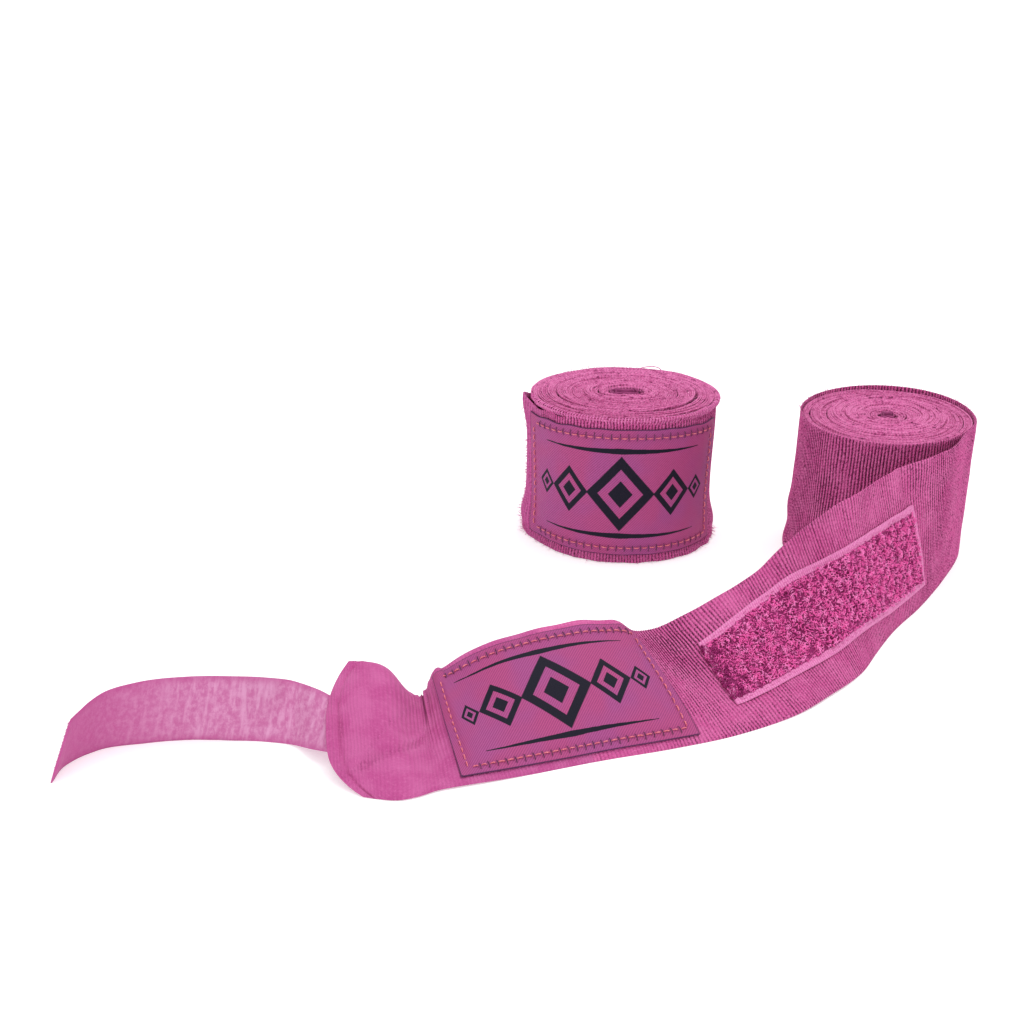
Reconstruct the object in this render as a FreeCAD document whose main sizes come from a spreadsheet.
import FreeCAD, Part
import math
import os
import Sketcher

# A pair of boxing hand wraps, in millimetres, +Z up.
# The open wrap's roll stands on the origin. Its free run comes off the roll, lies down
# along the floor and ends in a woven label, a folded end and a hook strap.
# The rolled wrap stands beside it, wound up and closed.

Vector = FreeCAD.Vector
UP = Vector(0, 0, 1)

DIMENSIONS = {
    "wrap_width": 50.0,
    "rolled_cloth": 0.5,
    "free_cloth": 0.9,
    "core_radius": 3.0,
    "open_turns": 41,
    "open_pitch": 0.627,
    "rolled_turns": 42,
    "rolled_pitch": 0.645,
    "rolled_centre_x": -89.0,
    "rolled_centre_y": 11.0,
    "label_length": 79.0,
    "label_height": 45.0,
    "label_cloth": 0.5,
    "backing_length": 106.0,
    "backing_width": 26.0,
    "backing_low": 10.0,
    "backing_cloth": 0.4,
    "pile_margin": 2.0,
    "pile_depth": 1.4,
    "pressed_pile": 0.6,
    "end_cloth": 1.8,
    "pressed_end": 1.4,
    "strap_width": 20.0,
    "strap_cloth": 0.7,
    "hook_margin": 1.5,
    "hook_depth": 0.8,
    "pressed_hooks": 0.4,
    "layer_gap": 0.1,
    "closure_gap": 0.3,
    "stitch_length": 2.3,
    "stitch_pitch": 3.2,
    "stitch_thread": 0.4,
    "stitch_inset": 3.5,
    "thumb_tape_width": 14.0,
    "thumb_tape_cloth": 0.4,
    "thumb_tape_pitch": 0.6,
    "thumb_tape_turns": 2,
    "thumb_tape_radius": 1.0,
}

# The free run as it lies, one station per line: the distance along the run, the edge that
# rests on the floor, and the other edge. The run stands upright where it leaves the roll,
# turns over beside the loop patch and lies nearly flat under the label.
RUN = [
    (0.0, (27.0, -12.5, 0.0), (28.0, -13.0, 50.0)),
    (22.0, (18.5, -32.0, 0.0), (18.5, -32.5, 50.0)),
    (43.0, (9.5, -51.0, 0.0), (2.0, -47.0, 49.5)),
    (64.0, (-1.5, -70.0, 0.0), (-12.5, -62.5, 48.0)),
    (86.0, (-11.0, -90.0, 0.0), (-26.0, -77.0, 45.5)),
    (97.0, (-15.5, -100.0, 0.0), (-33.5, -76.0, 38.5)),
    (108.0, (-21.0, -109.0, 0.0), (-41.0, -76.0, 31.0)),
    (118.0, (-27.0, -117.0, 0.0), (-49.0, -80.0, 24.0)),
    (138.0, (-40.0, -132.0, 0.0), (-66.0, -94.0, 19.0)),
    (158.0, (-59.0, -145.5, 0.0), (-84.0, -104.5, 14.0)),
    (179.0, (-79.0, -155.0, 0.0), (-97.5, -114.5, 22.0)),
    (199.0, (-97.0, -162.0, 0.0), (-114.0, -122.0, 24.0)),
    (219.0, (-114.0, -169.5, 0.0), (-131.5, -127.5, 21.0)),
    (239.0, (-132.0, -177.5, 0.0), (-147.5, -132.0, 13.5)),
    (248.0, (-140.0, -180.7, 0.0), (-150.0, -133.5, 12.5)),
    (255.0, (-147.0, -183.8, 0.0), (-153.5, -135.5, 5.0)),
    (261.0, (-152.5, -187.5, 0.0), (-158.5, -139.0, 8.5)),
    (266.0, (-157.5, -189.4, 0.0), (-163.5, -142.5, 17.0)),
    (273.0, (-164.5, -188.6, 0.0), (-170.0, -143.4, 20.5)),
    (281.0, (-172.0, -186.8, 0.5), (-176.5, -142.0, 19.5)),
    (288.0, (-178.5, -184.5, 1.5), (-182.0, -141.0, 17.0)),
]

# The hook strap twists up from the folded end, stands on its edge and curls forward.
STRAP_RUN = [
    (0.0, (-183.2, -166.6, 3.4), (-183.0, -149.8, 14.0)),
    (9.0, (-190.5, -158.0, 0.4), (-192.0, -143.0, 13.6)),
    (17.0, (-198.5, -155.6, 0.0), (-199.5, -146.2, 17.5)),
    (25.0, (-207.0, -155.2, 0.0), (-206.8, -152.8, 19.8)),
    (41.0, (-223.0, -155.5, 0.0), (-222.7, -154.2, 20.0)),
    (54.0, (-236.0, -158.5, 0.0), (-234.8, -157.9, 20.0)),
    (64.0, (-245.5, -161.8, 0.0), (-243.7, -163.9, 19.9)),
    (72.0, (-251.5, -167.0, 0.0), (-247.6, -170.0, 19.5)),
    (79.0, (-255.3, -173.0, 0.0), (-249.8, -175.5, 19.1)),
    (90.0, (-257.4, -183.4, 0.0), (-251.5, -179.5, 18.6)),
]

# Where each piece of the run starts and stops, measured along it.
PATCH_START = 42.0
LABEL_START = 169.0
LABEL_FOLD = 158.0
END_FOLD = 249.0
STRAP_SEAM = 288.0
HALF_HINGE_GAP = 1.0

# Angles round the rolled wrap, from its front towards its right, in degrees.
FRONT = -90.0
ROLLED_LABEL_EDGE = 73.5
ROLLED_PATCH_START = 114.0
ROLLED_PATCH_END = 284.0
ROLLED_END_START = -110.0
ROLLED_END_END = -75.0
ROLLED_STRAP_START = -250.0
ROLLED_STRAP_END = -111.5
OPEN_TAIL_ANGLE = -25.0

doc = FreeCAD.newDocument("hand_wraps")
sheet = doc.addObject("Spreadsheet::Sheet", "Dimensions")
pieces = []


def fill_sheet():
    for row, (alias, value) in enumerate(DIMENSIONS.items(), start=1):
        sheet.set("A%d" % row, alias)
        sheet.set("B%d" % row, str(value))
        sheet.setAlias("B%d" % row, alias)
    doc.recompute()


def size(alias):
    return float(sheet.get(alias))


def cell(expression):
    """Turn bare cell names into references to the sheet."""
    words = expression.split()
    return " ".join("Dimensions." + word if word in DIMENSIONS else word for word in words)


def keep(piece, label):
    piece.Label = label
    pieces.append(piece)
    return piece


# ---------------------------------------------------------------- stations along a run


def station_points(run, along):
    """The two edge points of a run at a distance along it."""
    for first, second in zip(run, run[1:]):
        if along <= second[0]:
            break
    share = (along - first[0]) / (second[0] - first[0])
    low = Vector(*first[1]) * (1 - share) + Vector(*second[1]) * share
    high = Vector(*first[2]) * (1 - share) + Vector(*second[2]) * share
    return low, high


def station_frame(run, along):
    """Edge point, direction across the cloth, and the cloth's outward normal."""
    low, high = station_points(run, along)
    last = run[-1][0]
    before = station_points(run, max(0.0, along - 1.0))
    after = station_points(run, min(last, along + 1.0))
    forward = (after[0] + after[1]) - (before[0] + before[1])
    across = high - low
    across.normalize()
    normal = across.cross(forward)
    normal.normalize()
    return low, across, normal


def stations_between(run, start, finish):
    inside = [station[0] for station in run if start + 2.0 < station[0] < finish - 2.0]
    return [start] + inside + [finish]


def placed(point, x_axis, y_axis):
    rotation = FreeCAD.Rotation(x_axis, y_axis, x_axis.cross(y_axis), "XYZ")
    return FreeCAD.Placement(point, rotation)


# ---------------------------------------------------------------- sketched sections


def origin_plane(body, role):
    for feature in body.Origin.OriginFeatures:
        if feature.Role == role:
            return feature
    raise RuntimeError("no plane " + role)


def flat_sketch(body, name, offset):
    sketch = body.newObject("Sketcher::SketchObject", name)
    sketch.AttachmentSupport = [(origin_plane(body, "XY_Plane"), "")]
    sketch.MapMode = "FlatFace"
    sketch.AttachmentOffset = offset
    return sketch


def rectangle(body, name, offset, width, height):
    """A sketched rectangle from its plane's origin, its sizes bound to the sheet."""
    sketch = flat_sketch(body, name, offset)
    corners = [Vector(0, 0, 0), Vector(10, 0, 0), Vector(10, 1, 0), Vector(0, 1, 0)]
    for index in range(4):
        sketch.addGeometry(Part.LineSegment(corners[index], corners[(index + 1) % 4]), False)
    for index in range(4):
        sketch.addConstraint(Sketcher.Constraint("Coincident", index, 2, (index + 1) % 4, 1))
    sketch.addConstraint(Sketcher.Constraint("Horizontal", 0))
    sketch.addConstraint(Sketcher.Constraint("Vertical", 1))
    sketch.addConstraint(Sketcher.Constraint("Horizontal", 2))
    sketch.addConstraint(Sketcher.Constraint("Vertical", 3))
    sketch.addConstraint(Sketcher.Constraint("Coincident", 0, 1, -1, 1))
    wide = sketch.addConstraint(Sketcher.Constraint("DistanceX", 0, 1, 0, 2, 10.0))
    tall = sketch.addConstraint(Sketcher.Constraint("DistanceY", 1, 1, 1, 2, 1.0))
    sketch.setExpression("Constraints[%d]" % wide, cell(width))
    sketch.setExpression("Constraints[%d]" % tall, cell(height))
    return sketch


def strip_along(label, run, start, finish, from_edge, lift, width, thickness):
    """A strip of cloth lofted along a run, between two distances along it."""
    body = doc.addObject("PartDesign::Body", label)
    sections = []
    for number, along in enumerate(stations_between(run, start, finish)):
        low, across, normal = station_frame(run, along)
        corner = low + across * from_edge + normal * lift
        name = "%s_section_%d" % (label, number)
        sections.append(rectangle(body, name, placed(corner, across, normal), width, thickness))
    loft = body.newObject("PartDesign::AdditiveLoft", label + "_loft")
    loft.Profile = sections[0]
    loft.Sections = sections[1:]
    loft.Ruled = True
    return keep(body, label)


def curved_band(label, centre, inner, thickness, start, finish, low, height):
    """A band of cloth that follows a roll, from one angle to another round its front."""
    body = doc.addObject("PartDesign::Body", label)
    sketch = flat_sketch(body, label + "_plan", FreeCAD.Placement(Vector(0, 0, low), FreeCAD.Rotation()))
    first = math.radians(start + FRONT)
    last = math.radians(finish + FRONT)
    inner_guess = 30.0
    outer_guess = 31.0
    circles = [Part.Circle(Vector(0, 0, 0), UP, radius) for radius in (inner_guess, outer_guess)]
    for circle in circles:
        sketch.addGeometry(Part.ArcOfCircle(circle, first, last), False)
    for angle in (first, last):
        direction = Vector(math.cos(angle), math.sin(angle), 0)
        sketch.addGeometry(Part.LineSegment(direction * inner_guess, direction * outer_guess), False)
    for arc in (0, 1):
        sketch.addConstraint(Sketcher.Constraint("Coincident", arc, 3, -1, 1))
    for side, end in ((2, 1), (3, 2)):
        sketch.addConstraint(Sketcher.Constraint("Coincident", side, 1, 0, end))
        sketch.addConstraint(Sketcher.Constraint("Coincident", side, 2, 1, end))
    for side, angle in ((2, first), (3, last)):
        sketch.addConstraint(Sketcher.Constraint("PointOnObject", -1, 1, side))
        sketch.addConstraint(Sketcher.Constraint("Angle", side, math.remainder(angle, math.tau)))
    near = sketch.addConstraint(Sketcher.Constraint("Radius", 0, inner_guess))
    far = sketch.addConstraint(Sketcher.Constraint("Radius", 1, outer_guess))
    sketch.setExpression("Constraints[%d]" % near, cell(inner))
    sketch.setExpression("Constraints[%d]" % far, cell(inner + " + " + thickness))
    pad = body.newObject("PartDesign::Pad", label + "_pad")
    pad.Profile = sketch
    pad.setExpression("Length", cell(height))
    body.Placement = FreeCAD.Placement(centre, FreeCAD.Rotation())
    return keep(body, label)


# ---------------------------------------------------------------- wound strips


def wound_plan(first_radius, pitch, cloth, turns):
    """Plan of a strip wound outwards, clockwise from above, as half turns about two centres.

    Each half turn starts where the last one ends and has the same tangent there, and its
    radius is half a pitch larger. The outer tail ends on the plan's +X side.
    """
    faces = {0.0: [], cloth: []}
    radius = first_radius
    for half in range(2 * int(turns)):
        centre = Vector(0 if half % 2 == 0 else pitch / 2, 0, 0)
        begin = 0 if half % 2 == 0 else math.pi
        for lift, edges in faces.items():
            points = []
            for angle in (begin, begin + math.pi / 2, begin + math.pi):
                points.append(centre + Vector(math.cos(angle), -math.sin(angle), 0) * (radius + lift))
            edges.append(Part.Arc(*points).toShape())
        radius += pitch / 2
    inner = faces[0.0]
    outer = faces[cloth]
    head = Part.LineSegment(inner[0].Vertexes[0].Point, outer[0].Vertexes[0].Point).toShape()
    tail = Part.LineSegment(outer[-1].Vertexes[-1].Point, inner[-1].Vertexes[-1].Point).toShape()
    return Part.Face(Part.Wire([head] + outer + [tail] + inner[::-1]))


def wound_strip(label, plan, height, placement):
    """A wound plan stood up to a height bound to the sheet."""
    outline = doc.addObject("Part::Feature", label + "_plan")
    outline.Shape = plan
    strip = doc.addObject("Part::Extrusion", label)
    strip.Base = outline
    strip.DirMode = "Custom"
    strip.Dir = UP
    strip.Solid = True
    strip.setExpression("LengthFwd", cell(height))
    strip.Placement = placement
    return keep(strip, label)


def wrap_roll(label, turns, pitch, centre, tail_angle):
    plan = wound_plan(size("core_radius"), size(pitch), size("rolled_cloth"), size(turns))
    turned = FreeCAD.Rotation(UP, tail_angle)
    return wound_strip(label, plan, "wrap_width", FreeCAD.Placement(centre, turned))


def thumb_loop(label, centre):
    """The narrow loop for the thumb, folded flat and wound up in the middle of the roll."""
    cloth = size("thumb_tape_cloth")
    plan = wound_plan(size("thumb_tape_radius"), size("thumb_tape_pitch"), cloth, size("thumb_tape_turns"))
    low = (size("wrap_width") - size("thumb_tape_width")) / 2
    return wound_strip(label, plan, "thumb_tape_width", FreeCAD.Placement(centre + UP * low, FreeCAD.Rotation()))


def bar_tack(label, centre):
    """The dense stitched bar that closes the thumb loop, in the middle of the wound tape."""
    bar = doc.addObject("Part::Box", label)
    bar.setExpression("Length", cell("thumb_tape_radius"))
    bar.setExpression("Width", cell("stitch_thread"))
    bar.setExpression("Height", cell("thumb_tape_width - 4"))
    low = (size("wrap_width") - size("thumb_tape_width")) / 2 + 2.0
    corner = Vector(-size("thumb_tape_radius") / 2, -size("stitch_thread") / 2, low)
    bar.Placement = FreeCAD.Placement(centre + corner, FreeCAD.Rotation())
    return keep(bar, label)


# ---------------------------------------------------------------- stitches


def stitch(point, forward, outward):
    """One visible stitch: a short rounded-off bar of thread lying along its seam."""
    long_side = size("stitch_length")
    thread = size("stitch_thread")
    bar = Part.makeBox(long_side, thread, thread)
    bar.translate(Vector(-long_side / 2, -thread / 2, 0))
    bar.Placement = placed(point, forward, outward.cross(forward)) * bar.Placement
    return bar


def seam(length, pitch):
    """Evenly spaced stitch middles along a seam that is centred on zero."""
    count = int(length // pitch)
    return [(index - (count - 1) / 2) * pitch for index in range(count)]


def outline_seams(length, height, inset):
    """Stitch middles and directions round a rectangle: (along, across, is_lengthwise)."""
    half_length = length / 2 - inset
    half_height = height / 2 - inset
    pitch = size("stitch_pitch")
    places = []
    for across in (-half_height, half_height):
        places += [(along, across, True) for along in seam(2 * half_length, pitch)]
    for along in (-half_length, half_length):
        places += [(along, across, False) for across in seam(2 * half_height - pitch, pitch)]
    return places


def stitch_group(label, bars):
    group = doc.addObject("Part::Feature", label)
    group.Shape = Part.makeCompound(bars)
    return keep(group, label)


def stitches_on_run(label, start, centre_line, lift, length, height, inset):
    """A rectangle of stitches on top of a piece that lies on the open wrap's run."""
    middle = start + length / 2
    bars = []
    for along, across, lengthwise in outline_seams(length, height, inset):
        low, over, normal = station_frame(RUN, middle + along)
        point = low + over * (centre_line + across) + normal * lift
        forward = normal.cross(over)
        bars.append(stitch(point, forward if lengthwise else over, normal))
    return stitch_group(label, bars)


def stitches_on_roll(label, centre, radius, middle, centre_line, length, height, inset):
    """A rectangle of stitches on top of a band that follows the rolled wrap."""
    bars = []
    for along, across, lengthwise in outline_seams(length, height, inset):
        angle = math.radians(middle + FRONT) + along / radius
        outward = Vector(math.cos(angle), math.sin(angle), 0)
        point = centre + outward * radius + UP * (centre_line + across)
        bars.append(stitch(point, UP.cross(outward) if lengthwise else UP, outward))
    return stitch_group(label, bars)


# ---------------------------------------------------------------- the open wrap


def open_wrap():
    centre = Vector(0, 0, 0)
    gap = size("layer_gap")
    cloth = size("free_cloth")
    wrap_roll("open_wrap_roll", "open_turns", "open_pitch", centre, OPEN_TAIL_ANGLE)
    thumb_loop("open_thumb_loop", centre)
    bar_tack("open_thumb_bar_tack", centre)

    lead_end = LABEL_FOLD - HALF_HINGE_GAP
    strip_along("open_wrap_lead", RUN, 0.0, lead_end, 0.0, 0.0, "wrap_width", "free_cloth")
    panel = (LABEL_FOLD + HALF_HINGE_GAP, END_FOLD - HALF_HINGE_GAP)
    strip_along("open_label_panel", RUN, *panel, 0.0, 0.0, "wrap_width", "free_cloth")
    fold = (END_FOLD + HALF_HINGE_GAP, STRAP_SEAM)
    strip_along("open_end_fold", RUN, *fold, 0.0, 0.0, "wrap_width", "end_cloth")

    open_loop_patch(cloth + gap)
    open_label(cloth + gap)
    open_strap()


def open_loop_patch(lift):
    """The sewn-on loop patch: a woven tape with a raised field of pile between its edges."""
    gap = size("layer_gap")
    margin = size("pile_margin")
    finish = PATCH_START + size("backing_length")
    from_edge = size("backing_low")
    backing = (RUN, PATCH_START, finish, from_edge, lift)
    strip_along("open_loop_backing", *backing, "backing_width", "backing_cloth")
    top = lift + size("backing_cloth") + gap
    pile = (RUN, PATCH_START + margin, finish - margin, from_edge + margin, top)
    strip_along("open_loop_pile", *pile, "backing_width - 2 * pile_margin", "pile_depth")
    row = (size("backing_length"), size("backing_width"), size("pile_margin") / 2)
    centre_line = from_edge + size("backing_width") / 2
    stitches_on_run("open_loop_stitches", PATCH_START, centre_line, top, *row)


def open_label(lift):
    """The woven label, sewn down all round with a running stitch."""
    from_edge = (size("wrap_width") - size("label_height")) / 2
    finish = LABEL_START + size("label_length")
    across = "label_height"
    strip_along("open_label", RUN, LABEL_START, finish, from_edge, lift, across, "label_cloth")
    top = lift + size("label_cloth") + size("layer_gap")
    row = (size("label_length"), size("label_height"), size("stitch_inset"))
    stitches_on_run("open_label_stitches", LABEL_START, size("wrap_width") / 2, top, *row)


def open_strap():
    """The hook strap, with its hooks on the hidden side, and the seam that holds it."""
    margin = size("hook_margin")
    finish = STRAP_RUN[-1][0]
    strip_along("open_hook_strap", STRAP_RUN, 0.0, finish, 0.0, 0.0, "strap_width", "strap_cloth")
    below = -size("hook_depth") - size("layer_gap")
    hooks = (STRAP_RUN, 4 * margin, finish - margin, margin, below)
    strip_along("open_hook_field", *hooks, "strap_width - 2 * hook_margin", "hook_depth")
    seam_length = 8.0
    top = size("end_cloth") + size("layer_gap")
    row = (seam_length, size("strap_width") + 4.0, 0.5)
    seam_start = STRAP_SEAM - seam_length - 1.0
    stitches_on_run("open_strap_stitches", seam_start, size("wrap_width") / 2, top, *row)


# ---------------------------------------------------------------- the rolled wrap


def rolled_wrap():
    centre = Vector(size("rolled_centre_x"), size("rolled_centre_y"), 0)
    tail_angle = FRONT - ROLLED_LABEL_EDGE
    wrap_roll("rolled_wrap_roll", "rolled_turns", "rolled_pitch", centre, tail_angle)
    thumb_loop("rolled_thumb_loop", centre)
    bar_tack("rolled_thumb_bar_tack", centre)

    skin = "core_radius + rolled_turns * rolled_pitch + rolled_cloth + layer_gap"
    skin_radius = skin_of_roll()
    label_edge = (-ROLLED_LABEL_EDGE, ROLLED_LABEL_EDGE)
    label_low = (size("wrap_width") - size("label_height")) / 2
    curved_band("rolled_label", centre, skin, "label_cloth", *label_edge, label_low, "label_height")
    label_top = skin_radius + size("label_cloth") + size("layer_gap")
    row = (size("label_length"), size("label_height"), size("stitch_inset"))
    half_width = size("wrap_width") / 2
    stitches_on_roll("rolled_label_stitches", centre, label_top, 0.0, half_width, *row)

    patch = (ROLLED_PATCH_START, ROLLED_PATCH_END)
    patch_low = size("backing_low")
    curved_band("rolled_loop_backing", centre, skin, "backing_cloth", *patch, patch_low, "backing_width")
    pile_skin = skin + " + backing_cloth + layer_gap"
    pile_height = "backing_width - 2 * pile_margin"
    pile_low = patch_low + size("pile_margin")
    end_margin = math.degrees((2 * size("pile_margin")) / skin_radius)
    pile = (ROLLED_PATCH_START + end_margin, ROLLED_PATCH_END - end_margin)
    curved_band("rolled_loop_pile", centre, pile_skin, "pressed_pile", *pile, pile_low, pile_height)
    rolled_patch_stitches(centre, skin_radius, patch)

    outside = pile_skin + " + pressed_pile + layer_gap"
    fold = (ROLLED_END_START, ROLLED_END_END)
    curved_band("rolled_end_fold", centre, outside, "pressed_end", *fold, 0.0, "wrap_width")
    rolled_strap(centre, outside)


def skin_of_roll():
    """Radius just outside the rolled wrap's own cloth."""
    wound = size("core_radius") + size("rolled_turns") * size("rolled_pitch")
    return wound + size("rolled_cloth") + size("layer_gap")


def rolled_patch_stitches(centre, skin_radius, patch):
    radius = skin_radius + size("backing_cloth") + size("layer_gap")
    middle = (patch[0] + patch[1]) / 2
    length = math.radians(patch[1] - patch[0]) * radius
    row = (length, size("backing_width"), size("pile_margin") / 2)
    centre_line = size("backing_low") + size("backing_width") / 2
    stitches_on_roll("rolled_loop_stitches", centre, radius, middle, centre_line, *row)


def rolled_strap(centre, outside):
    """The hook strap round the back of the rolled wrap, pressed onto the loop patch."""
    margin = size("hook_margin")
    strap = (ROLLED_STRAP_START, ROLLED_STRAP_END)
    low = (size("wrap_width") - size("strap_width")) / 2
    hooks = (ROLLED_STRAP_START + 3.0, ROLLED_STRAP_END - 8.0)
    hook_height = "strap_width - 2 * hook_margin"
    under_hooks = outside + " + closure_gap"
    over_hooks = under_hooks + " + pressed_hooks + layer_gap"
    curved_band("rolled_hook_field", centre, under_hooks, "pressed_hooks", *hooks, low + margin, hook_height)
    curved_band("rolled_hook_strap", centre, over_hooks, "strap_cloth", *strap, low, "strap_width")
    seam_length = 8.0
    stack = ("backing_cloth", "layer_gap", "pressed_pile", "layer_gap", "pressed_end", "layer_gap")
    radius = skin_of_roll() + sum(size(name) for name in stack)
    middle = ROLLED_END_START + math.degrees((seam_length / 2 + 1.0) / radius)
    row = (seam_length, size("strap_width") + 4.0, 0.5)
    half_width = size("wrap_width") / 2
    stitches_on_roll("rolled_strap_stitches", centre, radius, middle, half_width, *row)


# ---------------------------------------------------------------- build, check and write


def check_document():
    for item in doc.Objects:
        if "Invalid" in item.State or "Error" in item.State:
            raise RuntimeError("%s is not built: %s" % (item.Label, item.State))
    for piece in pieces:
        shape = piece.Shape
        if shape.isNull() or not shape.isValid() or shape.Volume <= 0:
            raise RuntimeError(piece.Label + " has no valid solid")


def write_parts():
    os.makedirs("parts", exist_ok=True)
    for piece in pieces:
        piece.Shape.exportStep("parts/%s.step" % piece.Label)
        box = piece.Shape.BoundBox
        print("%-24s solids %3d volume %9.1f mm3  low z %6.2f" % (
            piece.Label, len(piece.Shape.Solids), piece.Shape.Volume, box.ZMin))


fill_sheet()
open_wrap()
rolled_wrap()
doc.recompute()
check_document()
write_parts()
